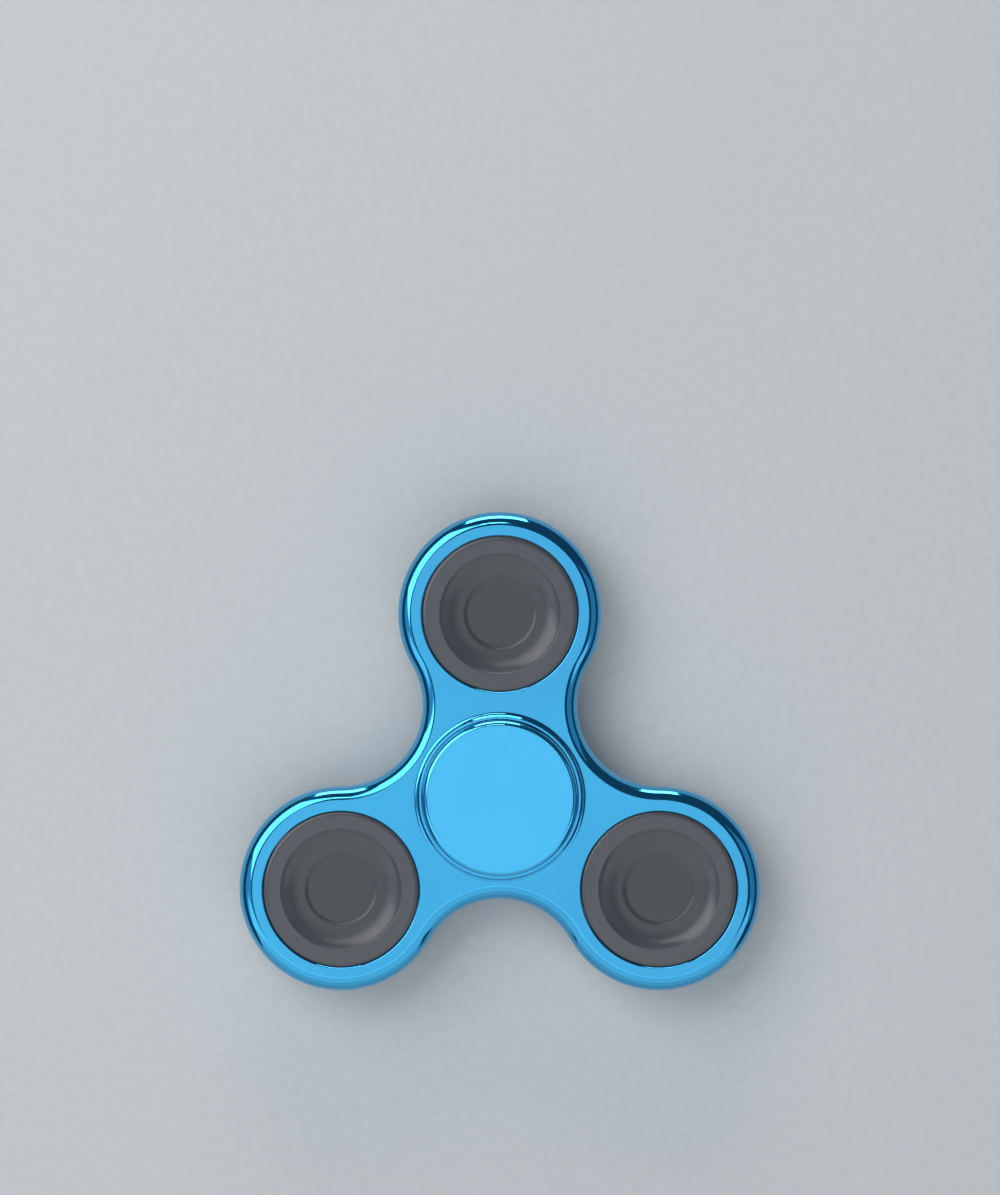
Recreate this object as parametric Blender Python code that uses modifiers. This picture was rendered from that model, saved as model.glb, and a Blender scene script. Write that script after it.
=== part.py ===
"""A three-lobed fidget spinner built round a shielded 8 x 22 x 7 mm ball bearing.

The spin axis is the Z axis. The rear finger cap's face lies on the plane z = 0, the front cap's
face is at the top, and the first lobe points along +Y. Profiles are (radius, height) pairs whose
heights are measured from the middle plane of the spinner.
"""

import math

import bmesh
import bpy
from mathutils import Matrix, Vector

MM = 0.001

# Whole object, along the spin axis
OVERALL_THICKNESS = 13.0 * MM
MIDDLE = OVERALL_THICKNESS / 2

# Body: three round lobes joined by concave waists
LOBES = {"top": 90.0, "left": 210.0, "right": 330.0}
LOBE_DISTANCE = 26.0 * MM
LOBE_RADIUS = 14.5 * MM
WAIST_RADIUS = 11.5 * MM
HALF_LOBE_SPACING = 60.0
BODY_HALF_THICKNESS = 3.7 * MM
RIM_ROUNDING = 2.1 * MM
SEAT_RADIUS = 11.1 * MM
LOBE_SEAT_CHAMFER = 0.25 * MM

# Collar round the body's middle seat, on both faces
COLLAR_HALF_HEIGHT = 4.2 * MM
COLLAR_RADIUS = 11.55 * MM
COLLAR_CHAMFER = 0.1 * MM
FILLET_RADIUS = 12.25 * MM
FILLET_SWEEP = 75.0

# Counterweights pressed into the lobes
WEIGHT_RADIUS = 11.0 * MM
WEIGHT_HALF_THICKNESS = 3.5 * MM
WEIGHT_ROUNDING = 0.4 * MM
DISH_RADIUS = 8.6 * MM
DISH_DEPTH = 0.9 * MM
DISH_END_ANGLE = -30.0
DISC_RADIUS = 5.15 * MM
DISC_STEP = 0.15 * MM

# Finger caps: disc, boss on the bearing's inner race, and a pin that fits a socket
CAP_RADIUS = 11.05 * MM
CAP_SHOULDER = 0.85 * MM
CAP_UNDERSIDE = 4.6 * MM
BOSS_RADIUS = 5.6 * MM
BOSS_GAP = 0.06 * MM
SOCKET_OUTER_RADIUS = 3.9 * MM
SOCKET_BORE_RADIUS = 2.3 * MM
SOCKET_END = -3.2 * MM
SOCKET_ROOF = 4.4 * MM
PIN_RADIUS = 2.2 * MM
PIN_TIP = 4.2 * MM
PIN_LEAD_IN = 0.4 * MM

# Ball bearing, 8 x 22 x 7 mm
BEARING_HALF_WIDTH = 3.5 * MM
RACE_CHAMFER = 0.3 * MM
OUTER_RACE_RADIUS = 11.0 * MM
OUTER_LAND_RADIUS = 8.8 * MM
INNER_LAND_RADIUS = 6.05 * MM
BORE_RADIUS = 4.0 * MM
PITCH_RADIUS = 7.5 * MM
BALL_COUNT = 7
BALL_RADIUS = 1.9845 * MM
RUNNING_CLEARANCE = 0.09 * MM
SHIELD_SEAT_RADIUS = 9.6 * MM
SHIELD_SEAT_HEIGHT = 2.55 * MM

# Ribbon cage, pressed from sheet in two halves
CAGE_INNER_RADIUS = 6.75 * MM
CAGE_OUTER_RADIUS = 8.25 * MM
CAGE_SHEET = 0.28 * MM
CAGE_HALF_GAP = 0.03 * MM

# Shields and the wire clips that hold them
SHIELD_HOLE_RADIUS = 6.3 * MM
SHIELD_RADIUS = 9.5 * MM
SHIELD_RIM_WIDTH = 0.75 * MM
SHIELD_HEIGHT = 2.65 * MM
SHIELD_SHEET = 0.25 * MM
SHIELD_CROWN = 0.25 * MM
CLIP_RADIUS = 9.3 * MM
CLIP_WIRE_RADIUS = 0.17 * MM
CLIP_GAP = 0.03 * MM
CLIP_OPENING = 20.0

# Facets of the round pieces and of the rounded edges
ROUND_STEPS = 40
BEARING_STEPS = 32
RIM_STEPS = 3
FILLET_STEPS = 4
SHOULDER_STEPS = 4
DISH_STEPS = 3
WEIGHT_ROUNDING_STEPS = 3
GROOVE_STEPS = 6
LOBE_STEPS = 20
WAIST_STEPS = 10
CLIP_STEPS = 30
POCKET_SEGMENTS = 16
POCKET_RINGS = 10
BALL_SEGMENTS = 14
BALL_RINGS = 9
WELD_DISTANCE = 0.001 * MM
CUTTER_MARGIN = 2.0 * MM
FLAT_ANGLE = math.radians(1)
RIM_ANGLE = math.radians(60)
SMOOTH_ANGLE = math.radians(35)


def clear_scene():
    """Remove every object, so that the script can run again in an open file."""
    for obj in list(bpy.data.objects):
        bpy.data.objects.remove(obj, do_unlink=True)


def new_collection(name):
    """Add a collection to the scene."""
    collection = bpy.data.collections.new(name)
    bpy.context.scene.collection.children.link(collection)
    return collection


def material(name, colour, metallic, roughness):
    """Make a Principled material."""
    made = bpy.data.materials.new(name)
    made.use_nodes = True
    shader = made.node_tree.nodes["Principled BSDF"]
    shader.inputs["Base Color"].default_value = (*colour, 1.0)
    shader.inputs["Metallic"].default_value = metallic
    shader.inputs["Roughness"].default_value = roughness
    made.diffuse_color = (*colour, 1.0)
    return made


def blue_plating():
    """Bright blue tinted plating of the body."""
    return material("blue_plating", (0.07, 0.42, 0.76), 1.0, 0.12)


def blue_cap_plating():
    """The same plating on the finger caps, a little lighter."""
    return material("blue_cap_plating", (0.09, 0.50, 0.86), 1.0, 0.08)


def dark_weight_steel():
    """Blackened steel of the counterweights."""
    return material("dark_weight_steel", (0.10, 0.10, 0.11), 0.9, 0.42)


def race_steel():
    """Ground bearing steel of the races."""
    return material("race_steel", (0.55, 0.56, 0.57), 1.0, 0.22)


def ball_steel():
    """Polished bearing steel of the balls."""
    return material("ball_steel", (0.70, 0.71, 0.72), 1.0, 0.06)


def pressed_steel():
    """Thin pressed sheet of the cage and the shields."""
    return material("pressed_steel", (0.46, 0.46, 0.45), 1.0, 0.35)


def spring_wire():
    """Spring wire of the shield clips."""
    return material("spring_wire", (0.38, 0.38, 0.39), 1.0, 0.30)


def arc(centre, radii, start, end, steps):
    """Points of an elliptical arc between two angles in degrees, with both ends."""
    points = []
    for step in range(steps + 1):
        angle = math.radians(start + (end - start) * step / steps)
        x = centre[0] + radii[0] * math.cos(angle)
        y = centre[1] + radii[1] * math.sin(angle)
        points.append((x, y))
    return points


def mirrored_down(upper):
    """Complete a profile that is symmetric about height 0 from its upper half."""
    lower = [(radius, -height) for radius, height in reversed(upper)]
    return upper + lower


def turned(name, profile, steps, collection, ring=False):
    """Turn a profile once round the Z axis.

    A plain profile starts and ends on the axis. A ring's profile is a closed loop beside it.
    """
    count = len(profile)
    edges = [(index, index + 1) for index in range(count - 1)]
    if ring:
        edges.append((count - 1, 0))
    mesh = bpy.data.meshes.new(name)
    mesh.from_pydata([(radius, 0.0, height) for radius, height in profile], edges, [])
    obj = bpy.data.objects.new(name, mesh)
    collection.objects.link(obj)
    screw = obj.modifiers.new("Turn", "SCREW")
    screw.axis = "Z"
    screw.angle = math.tau
    screw.steps = steps
    screw.render_steps = steps
    screw.use_merge_vertices = True
    screw.merge_threshold = WELD_DISTANCE
    return obj


def boolean(obj, operation, other):
    """Join another object's volume to an object, cut it away, or keep only what they share."""
    modifier = obj.modifiers.new(operation.title(), "BOOLEAN")
    modifier.operation = operation
    modifier.solver = "EXACT"
    modifier.object = other


def bake(obj):
    """Replace an object by a mesh object of its evaluated, welded shape."""
    graph = bpy.context.evaluated_depsgraph_get()
    mesh = bpy.data.meshes.new_from_object(obj.evaluated_get(graph))
    weld = bmesh.new()
    weld.from_mesh(mesh)
    bmesh.ops.remove_doubles(weld, verts=weld.verts, dist=WELD_DISTANCE)
    weld.to_mesh(mesh)
    weld.free()
    name = obj.name
    baked = bpy.data.objects.new(name, mesh)
    baked.matrix_world = obj.matrix_world
    for collection in obj.users_collection:
        collection.objects.link(baked)
    bpy.data.objects.remove(obj, do_unlink=True)
    baked.name = name
    mesh.name = name
    return baked


def finish(obj, look, parent, location=(0.0, 0.0, 0.0)):
    """Bake an object, give it its material and smooth shading, and hang it on its parent."""
    done = bake(obj)
    done.data.materials.clear()
    done.data.materials.append(look)
    done.data.shade_smooth()
    done.data.set_sharp_from_angle(angle=SMOOTH_ANGLE)
    done.parent = parent
    done.location = location
    return done


def as_cutter(obj):
    """Show a cutter as wire and leave it out of renders."""
    obj.display_type = "WIRE"
    obj.hide_render = True
    return obj


def pivot(name, collection, parent=None, location=(0.0, 0.0, 0.0)):
    """An empty that carries the pieces which move together."""
    empty = bpy.data.objects.new(name, None)
    empty.empty_display_size = LOBE_RADIUS
    empty.parent = parent
    empty.location = location
    collection.objects.link(empty)
    return empty


def lobe_centre(name):
    """Centre of a lobe, from the spin axis."""
    angle = math.radians(LOBES[name])
    return Vector((LOBE_DISTANCE * math.cos(angle), LOBE_DISTANCE * math.sin(angle), 0.0))


def outline_points():
    """Outline of the body: each lobe's arc, then the waist's arc that touches it and the next."""
    reach = LOBE_RADIUS + WAIST_RADIUS
    along = LOBE_DISTANCE * math.cos(math.radians(HALF_LOBE_SPACING))
    across = LOBE_DISTANCE * math.sin(math.radians(HALF_LOBE_SPACING))
    waist_distance = along + math.sqrt(reach ** 2 - across ** 2)
    waist_sweep = math.degrees(math.asin(across / reach))
    lobe_sweep = HALF_LOBE_SPACING + waist_sweep
    points = []
    for lobe_angle in LOBES.values():
        heading = math.radians(lobe_angle)
        centre = (LOBE_DISTANCE * math.cos(heading), LOBE_DISTANCE * math.sin(heading))
        radii = (LOBE_RADIUS, LOBE_RADIUS)
        points += arc(centre, radii, lobe_angle - lobe_sweep, lobe_angle + lobe_sweep, LOBE_STEPS)
        waist_angle = lobe_angle + HALF_LOBE_SPACING
        heading = math.radians(waist_angle)
        centre = (waist_distance * math.cos(heading), waist_distance * math.sin(heading))
        radii = (WAIST_RADIUS, WAIST_RADIUS)
        inward = waist_angle + 180.0
        waist = arc(centre, radii, inward + waist_sweep, inward - waist_sweep, WAIST_STEPS)
        points += waist[1:-1]
    return points


def body_plate(collection):
    """The flat three-lobed plate of the body, with its outer edges rounded."""
    curve = bpy.data.curves.new("spinner_body", "CURVE")
    curve.dimensions = "2D"
    curve.fill_mode = "BOTH"
    curve.extrude = BODY_HALF_THICKNESS
    points = outline_points()
    spline = curve.splines.new("POLY")
    spline.points.add(len(points) - 1)
    for target, (x, y) in zip(spline.points, points):
        target.co = (x, y, 0.0, 1.0)
    spline.use_cyclic_u = True
    plate = bpy.data.objects.new("spinner_body", curve)
    collection.objects.link(plate)
    plate = bake(plate)
    faces = bmesh.new()
    faces.from_mesh(plate.data)
    bmesh.ops.dissolve_limit(
        faces, angle_limit=FLAT_ANGLE, verts=faces.verts, edges=faces.edges
    )
    faces.to_mesh(plate.data)
    faces.free()
    bevel = plate.modifiers.new("Rounded rim", "BEVEL")
    bevel.width = RIM_ROUNDING
    bevel.segments = RIM_STEPS
    bevel.limit_method = "ANGLE"
    bevel.angle_limit = RIM_ANGLE
    return plate


def collar_solid(collection):
    """Disc whose rim is the collar on both faces, with a hollow fillet down to the arms."""
    fillet_top = COLLAR_HALF_HEIGHT - COLLAR_CHAMFER
    centre = (FILLET_RADIUS, fillet_top)
    radii = (FILLET_RADIUS - COLLAR_RADIUS, fillet_top - BODY_HALF_THICKNESS)
    upper = [(0.0, COLLAR_HALF_HEIGHT), (COLLAR_RADIUS - COLLAR_CHAMFER, COLLAR_HALF_HEIGHT)]
    upper += arc(centre, radii, 180.0, 180.0 + FILLET_SWEEP, FILLET_STEPS)
    upper.append((FILLET_RADIUS, BODY_HALF_THICKNESS - COLLAR_CHAMFER))
    return as_cutter(turned("collar", mirrored_down(upper), ROUND_STEPS, collection))


def seat_cutter(name, face_height, chamfer, collection):
    """Cutter for a seat bored right through, with a chamfer at the face on both sides."""
    top = face_height + CUTTER_MARGIN
    upper = [
        (0.0, top),
        (SEAT_RADIUS + chamfer + CUTTER_MARGIN, top),
        (SEAT_RADIUS, face_height - chamfer),
    ]
    return as_cutter(turned(name, mirrored_down(upper), ROUND_STEPS, collection))


def spinner_body(look, parent, collection, cutters):
    """The one-piece body: plate, collar, middle seat and three lobe seats."""
    body = body_plate(collection)
    boolean(body, "UNION", collar_solid(cutters))
    middle = seat_cutter("middle_seat", COLLAR_HALF_HEIGHT, COLLAR_CHAMFER, cutters)
    boolean(body, "DIFFERENCE", middle)
    for lobe in LOBES:
        seat = seat_cutter("seat_" + lobe, BODY_HALF_THICKNESS, LOBE_SEAT_CHAMFER, cutters)
        seat.location = lobe_centre(lobe)
        boolean(body, "DIFFERENCE", seat)
    return finish(body, look, parent)


def weight_profile():
    """Counterweight: rounded rim, flat ring, dish, and a flat disc sunk in its middle."""
    top = WEIGHT_HALF_THICKNESS
    start = math.radians(DISH_END_ANGLE)
    dish_width = (DISH_RADIUS - DISC_RADIUS) / math.cos(start)
    dish_height = DISH_DEPTH / (1 + math.sin(start))
    dish_centre = (DISC_RADIUS, top - DISH_DEPTH + dish_height)
    upper = [(0.0, top - DISH_DEPTH - DISC_STEP), (DISC_RADIUS, top - DISH_DEPTH - DISC_STEP)]
    upper += arc(dish_centre, (dish_width, dish_height), -90.0, DISH_END_ANGLE, DISH_STEPS)
    rim_centre = (WEIGHT_RADIUS - WEIGHT_ROUNDING, top - WEIGHT_ROUNDING)
    rounding = (WEIGHT_ROUNDING, WEIGHT_ROUNDING)
    upper += arc(rim_centre, rounding, 90.0, 0.0, WEIGHT_ROUNDING_STEPS)
    return mirrored_down(upper)


def weights(look, parent, collection):
    """One counterweight in each lobe."""
    for lobe in LOBES:
        weight = turned("weight_" + lobe, weight_profile(), ROUND_STEPS, collection)
        finish(weight, look, parent, lobe_centre(lobe))


def cap_disc_profile():
    """Finger cap from its flat face over the round shoulder to the foot of its boss."""
    face = OVERALL_THICKNESS / 2
    centre = (CAP_RADIUS - CAP_SHOULDER, face - CAP_SHOULDER)
    profile = [(0.0, face)]
    profile += arc(centre, (CAP_SHOULDER, CAP_SHOULDER), 90.0, 0.0, SHOULDER_STEPS)
    profile.append((CAP_RADIUS, CAP_UNDERSIDE))
    profile.append((BOSS_RADIUS, CAP_UNDERSIDE))
    profile.append((BOSS_RADIUS, BEARING_HALF_WIDTH + BOSS_GAP))
    return profile


def front_cap(look, parent, collection):
    """Front finger cap, with a socket that passes through the bearing's bore."""
    profile = cap_disc_profile()
    profile.append((SOCKET_OUTER_RADIUS, BEARING_HALF_WIDTH + BOSS_GAP))
    profile.append((SOCKET_OUTER_RADIUS, SOCKET_END))
    profile.append((SOCKET_BORE_RADIUS, SOCKET_END))
    profile.append((SOCKET_BORE_RADIUS, SOCKET_ROOF))
    profile.append((0.0, SOCKET_ROOF))
    cap = turned("front_cap", profile, ROUND_STEPS, collection)
    return finish(cap, look, parent)


def rear_cap(look, parent, collection):
    """Rear finger cap, with a pin that fits the front cap's socket."""
    profile = [(0.0, PIN_TIP), (PIN_RADIUS - PIN_LEAD_IN, PIN_TIP)]
    profile.append((PIN_RADIUS, PIN_TIP - PIN_LEAD_IN))
    profile.append((PIN_RADIUS, -BEARING_HALF_WIDTH - BOSS_GAP))
    profile += [(radius, -height) for radius, height in reversed(cap_disc_profile())]
    cap = turned("rear_cap", profile, ROUND_STEPS, collection)
    return finish(cap, look, parent)


def groove(side, land_radius):
    """Ball groove in a land, bottom to top. Side is +1 on the outer race, -1 on the inner."""
    radius = BALL_RADIUS + RUNNING_CLEARANCE
    lip = math.degrees(math.acos(side * (land_radius - PITCH_RADIUS) / radius))
    radii = (side * radius, radius)
    return arc((PITCH_RADIUS, 0.0), radii, -lip, lip, GROOVE_STEPS)


def outer_race(look, parent, collection):
    """Outer race: chamfered rim, a seat for each shield, a land and the ball groove."""
    half = BEARING_HALF_WIDTH
    upper = [
        (SHIELD_SEAT_RADIUS, half),
        (OUTER_RACE_RADIUS - RACE_CHAMFER, half),
        (OUTER_RACE_RADIUS, half - RACE_CHAMFER),
    ]
    profile = mirrored_down(upper)
    profile.append((SHIELD_SEAT_RADIUS, -SHIELD_SEAT_HEIGHT))
    profile.append((OUTER_LAND_RADIUS, -SHIELD_SEAT_HEIGHT))
    profile += groove(1, OUTER_LAND_RADIUS)
    profile.append((OUTER_LAND_RADIUS, SHIELD_SEAT_HEIGHT))
    profile.append((SHIELD_SEAT_RADIUS, SHIELD_SEAT_HEIGHT))
    race = turned("bearing_outer_race", profile, ROUND_STEPS, collection, ring=True)
    return finish(race, look, parent)


def inner_race(look, parent, collection):
    """Inner race: lands and ball groove outside, chamfered 8 mm bore inside."""
    half = BEARING_HALF_WIDTH
    profile = [(INNER_LAND_RADIUS, half)]
    profile += reversed(groove(-1, INNER_LAND_RADIUS))
    profile.append((INNER_LAND_RADIUS, -half))
    profile.append((BORE_RADIUS + RACE_CHAMFER, -half))
    profile.append((BORE_RADIUS, -half + RACE_CHAMFER))
    profile.append((BORE_RADIUS, half - RACE_CHAMFER))
    profile.append((BORE_RADIUS + RACE_CHAMFER, half))
    race = turned("bearing_inner_race", profile, BEARING_STEPS, collection, ring=True)
    return finish(race, look, parent)


def ball_centre(index):
    """Centre of a ball on the pitch circle. The first one points along +Y."""
    angle = math.radians(90.0 + 360.0 * index / BALL_COUNT)
    return Vector((PITCH_RADIUS * math.cos(angle), PITCH_RADIUS * math.sin(angle), 0.0))


def balls(look, parent, collection):
    """The seven loose balls, which share one mesh."""
    sphere = bmesh.new()
    bmesh.ops.create_uvsphere(
        sphere, u_segments=BALL_SEGMENTS, v_segments=BALL_RINGS, radius=BALL_RADIUS
    )
    mesh = bpy.data.meshes.new("bearing_ball")
    sphere.to_mesh(mesh)
    sphere.free()
    mesh.materials.append(look)
    mesh.shade_smooth()
    for index in range(BALL_COUNT):
        ball = bpy.data.objects.new("bearing_ball_%d" % (index + 1), mesh)
        ball.parent = parent
        ball.location = ball_centre(index)
        collection.objects.link(ball)


def sphere_ring(name, radius, collection):
    """One sphere round each ball's centre, as a tool for shaping the cage."""
    spheres = bmesh.new()
    for index in range(BALL_COUNT):
        bmesh.ops.create_uvsphere(
            spheres,
            u_segments=POCKET_SEGMENTS,
            v_segments=POCKET_RINGS,
            radius=radius,
            matrix=Matrix.Translation(ball_centre(index)),
        )
    mesh = bpy.data.meshes.new(name)
    spheres.to_mesh(mesh)
    spheres.free()
    obj = bpy.data.objects.new(name, mesh)
    collection.objects.link(obj)
    return as_cutter(obj)


def ring_profile(inner, outer, top, bottom):
    """Closed profile of a plain ring."""
    return [(outer, top), (outer, bottom), (inner, bottom), (inner, top)]


def cage_halves(look, parent, collection, cutters):
    """The two halves of the ribbon cage: flat between the balls, a round cup over each ball."""
    pocket = BALL_RADIUS + RUNNING_CLEARANCE
    cup = pocket + CAGE_SHEET
    blank = ring_profile(
        CAGE_INNER_RADIUS - CAGE_SHEET,
        CAGE_OUTER_RADIUS + CAGE_SHEET,
        CAGE_HALF_GAP + CAGE_SHEET,
        -CAGE_SHEET,
    )
    band_profile = ring_profile(
        CAGE_INNER_RADIUS, CAGE_OUTER_RADIUS, cup + CAGE_SHEET, CAGE_HALF_GAP
    )
    half = turned("cage_front_half", blank, BEARING_STEPS, collection, ring=True)
    band = as_cutter(turned("cage_band", band_profile, BEARING_STEPS, cutters, ring=True))
    boolean(half, "UNION", sphere_ring("cage_cups", cup, cutters))
    boolean(half, "INTERSECT", band)
    boolean(half, "DIFFERENCE", sphere_ring("cage_pockets", pocket, cutters))
    front = finish(half, look, parent)
    rear = front.copy()
    rear.name = "cage_rear_half"
    rear.rotation_euler = (0.0, math.pi, 0.0)
    collection.objects.link(rear)


def shield(name, turn, look, parent, collection):
    """Pressed shield: flat rim on its seat in the outer race, raised middle, open at the hole.

    It is made for the front face, and a half turn about Y puts it on the rear one.
    """
    rim_top = SHIELD_HEIGHT + SHIELD_SHEET
    rim_end = SHIELD_RADIUS - SHIELD_RIM_WIDTH
    crown_edge = rim_end - SHIELD_CROWN
    profile = [
        (SHIELD_HOLE_RADIUS, rim_top + SHIELD_CROWN),
        (crown_edge, rim_top + SHIELD_CROWN),
        (rim_end, rim_top),
        (SHIELD_RADIUS, rim_top),
        (SHIELD_RADIUS, SHIELD_HEIGHT),
        (rim_end, SHIELD_HEIGHT),
        (crown_edge, SHIELD_HEIGHT + SHIELD_CROWN),
        (SHIELD_HOLE_RADIUS, SHIELD_HEIGHT + SHIELD_CROWN),
    ]
    made = turned(name, profile, BEARING_STEPS, collection, ring=True)
    done = finish(made, look, parent)
    done.rotation_euler = (0.0, turn, 0.0)


def shield_clip(name, turn, look, parent, collection):
    """C-shaped wire that lies on a shield's rim, open on the side of the first lobe."""
    height = SHIELD_HEIGHT + SHIELD_SHEET + CLIP_GAP + CLIP_WIRE_RADIUS
    start = 90.0 + CLIP_OPENING / 2
    end = start + 360.0 - CLIP_OPENING
    points = arc((0.0, 0.0), (CLIP_RADIUS, CLIP_RADIUS), start, end, CLIP_STEPS)
    curve = bpy.data.curves.new(name, "CURVE")
    curve.dimensions = "3D"
    curve.bevel_depth = CLIP_WIRE_RADIUS
    curve.bevel_resolution = 1
    curve.use_fill_caps = True
    spline = curve.splines.new("POLY")
    spline.points.add(len(points) - 1)
    for target, (x, y) in zip(spline.points, points):
        target.co = (x, y, height, 1.0)
    clip = bpy.data.objects.new(name, curve)
    collection.objects.link(clip)
    done = finish(clip, look, parent)
    done.rotation_euler = (0.0, turn, 0.0)


def main():
    """Build the spinner: held pieces, the rotor that turns about them, and the rolling set."""
    clear_scene()
    parts = new_collection("fidget_spinner")
    cutters = new_collection("cutters")
    plating = blue_plating()
    cap_plating = blue_cap_plating()
    steel = race_steel()
    sheet = pressed_steel()
    wire = spring_wire()
    centre = pivot("spin_axis", parts, location=(0.0, 0.0, MIDDLE))
    held = pivot("held_pieces", parts, centre)
    rotor = pivot("rotor", parts, centre)
    cage = pivot("rolling_set", parts, centre)
    front_cap(cap_plating, held, parts)
    rear_cap(cap_plating, held, parts)
    inner_race(steel, held, parts)
    spinner_body(plating, rotor, parts, cutters)
    weights(dark_weight_steel(), rotor, parts)
    outer_race(steel, rotor, parts)
    shield("shield_front", 0.0, sheet, rotor, parts)
    shield("shield_rear", math.pi, sheet, rotor, parts)
    shield_clip("shield_clip_front", 0.0, wire, rotor, parts)
    shield_clip("shield_clip_rear", math.pi, wire, rotor, parts)
    balls(ball_steel(), cage, parts)
    cage_halves(sheet, cage, parts, cutters)


main()
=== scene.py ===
import math

import bmesh
import bpy
import numpy as np
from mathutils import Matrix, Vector
from mathutils.geometry import delaunay_2d_cdt


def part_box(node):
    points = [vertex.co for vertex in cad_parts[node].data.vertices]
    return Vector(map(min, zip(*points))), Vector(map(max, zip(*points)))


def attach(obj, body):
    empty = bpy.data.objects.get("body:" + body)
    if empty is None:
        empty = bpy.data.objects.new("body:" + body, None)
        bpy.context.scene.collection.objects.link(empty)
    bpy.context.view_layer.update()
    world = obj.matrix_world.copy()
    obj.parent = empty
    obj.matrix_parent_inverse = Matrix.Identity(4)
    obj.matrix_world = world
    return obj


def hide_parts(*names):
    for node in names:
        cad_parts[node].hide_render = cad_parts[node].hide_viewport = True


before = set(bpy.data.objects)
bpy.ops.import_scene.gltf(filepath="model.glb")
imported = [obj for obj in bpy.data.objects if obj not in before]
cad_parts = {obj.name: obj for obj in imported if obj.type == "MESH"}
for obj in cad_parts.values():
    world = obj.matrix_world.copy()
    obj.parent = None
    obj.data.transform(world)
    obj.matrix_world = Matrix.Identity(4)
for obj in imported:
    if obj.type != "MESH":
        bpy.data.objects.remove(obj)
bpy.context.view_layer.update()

MM = 0.001

# ---------------------------------------------------------------------------------------------
# Inner race. A ring of hardened bearing steel, ground all over, with a polished groove for the
# balls. The finger caps grip it, so it stays still while the spinner turns.
# ---------------------------------------------------------------------------------------------

MIDDLE = (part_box("bearing_inner_race")[0].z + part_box("bearing_inner_race")[1].z) / 2
RACE_HALF_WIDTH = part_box("bearing_inner_race")[1].z - MIDDLE
INNER_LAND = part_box("bearing_inner_race")[1].x
BORE = 4.0 * MM
PITCH = 7.5 * MM
GROOVE = 2.0745 * MM


def arc(centre, radius, start, end, count):
    """Points of a circle's arc: the centre plus the radius times the cosine and the sine of angles
    spread evenly between start and end, in degrees."""
    angles = np.radians(np.linspace(start, end, count))
    return np.column_stack((centre[0] + radius * np.cos(angles), centre[1] + radius * np.sin(angles)))


def rounded(corners, radii, ring, count=6):
    """A polygon's outline with its corners rounded: each corner gives way to points of the circle
    that touches both its sides, spaced evenly in angle. A corner of radius 0 stays."""
    corners = np.asarray(corners, float)
    pieces = []
    for index, (corner, radius) in enumerate(zip(corners, radii)):
        if radius == 0 or (not ring and index in (0, len(corners) - 1)):
            pieces.append(corner[None])
            continue
        back = corners[index - 1] - corner
        ahead = corners[(index + 1) % len(corners)] - corner
        back /= np.linalg.norm(back)
        ahead /= np.linalg.norm(ahead)
        half = math.acos(np.clip(back @ ahead, -1, 1)) / 2
        middle = (back + ahead) / np.linalg.norm(back + ahead)
        centre = corner + middle * radius / math.sin(half)
        first = corner + back * radius / math.tan(half) - centre
        last = corner + ahead * radius / math.tan(half) - centre
        start = math.atan2(first[1], first[0])
        turn = math.remainder(math.atan2(last[1], last[0]) - start, math.tau)
        angles = start + turn * np.linspace(0, 1, count)
        pieces.append(centre + radius * np.column_stack((np.cos(angles), np.sin(angles))))
    return np.vstack(pieces)


def grid_faces(rows, columns, wrap_rows, wrap_columns):
    """Quads of a grid numbered row by row: each joins a point to the next in its row and to the two
    beside them in the next row. Wrapping joins the last row or column to the first."""
    row = np.arange(rows if wrap_rows else rows - 1)[:, None]
    column = np.arange(columns if wrap_columns else columns - 1)[None, :]
    next_row = (row + 1) % rows
    next_column = (column + 1) % columns
    corners = (
        row * columns + column,
        next_row * columns + column,
        next_row * columns + next_column,
        row * columns + next_column,
    )
    return np.stack([np.broadcast_to(c, (len(row), column.size)) for c in corners], -1).reshape(-1, 4)


def profile_normals(profile, ring):
    """Outward normals along a profile that runs down its outer side: each side's direction turned
    a quarter left, averaged at every point with the sides' lengths as weights."""
    sides = np.diff(np.vstack((profile, profile[:1])), axis=0)
    if not ring:
        sides[-1] = 0
    outward = np.column_stack((-sides[:, 1], sides[:, 0]))
    total = outward + np.roll(outward, 1, axis=0)
    return total / np.linalg.norm(total, axis=1)[:, None]


def turned_patch(profile, columns, ring=False, centre=(0.0, 0.0, MIDDLE), start=0.0):
    """Surface of revolution: a profile point of radius r and height h goes to the centre plus
    (r cos a, r sin a, h), for angles a all the way round. Returns points, normals and faces."""
    profile = np.asarray(profile, float)
    angles = start + np.arange(columns) * math.tau / columns
    across = np.stack((np.cos(angles), np.sin(angles)), -1)
    normals = profile_normals(profile, ring)
    points = np.empty((len(profile), columns, 3))
    facing = np.empty_like(points)
    points[..., :2] = profile[:, None, :1] * across
    points[..., 2] = profile[:, None, 1]
    facing[..., :2] = normals[:, None, :1] * across
    facing[..., 2] = normals[:, None, 1]
    faces = grid_faces(len(profile), columns, ring, True)
    return (points + centre).reshape(-1, 3), facing.reshape(-1, 3), faces


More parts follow.
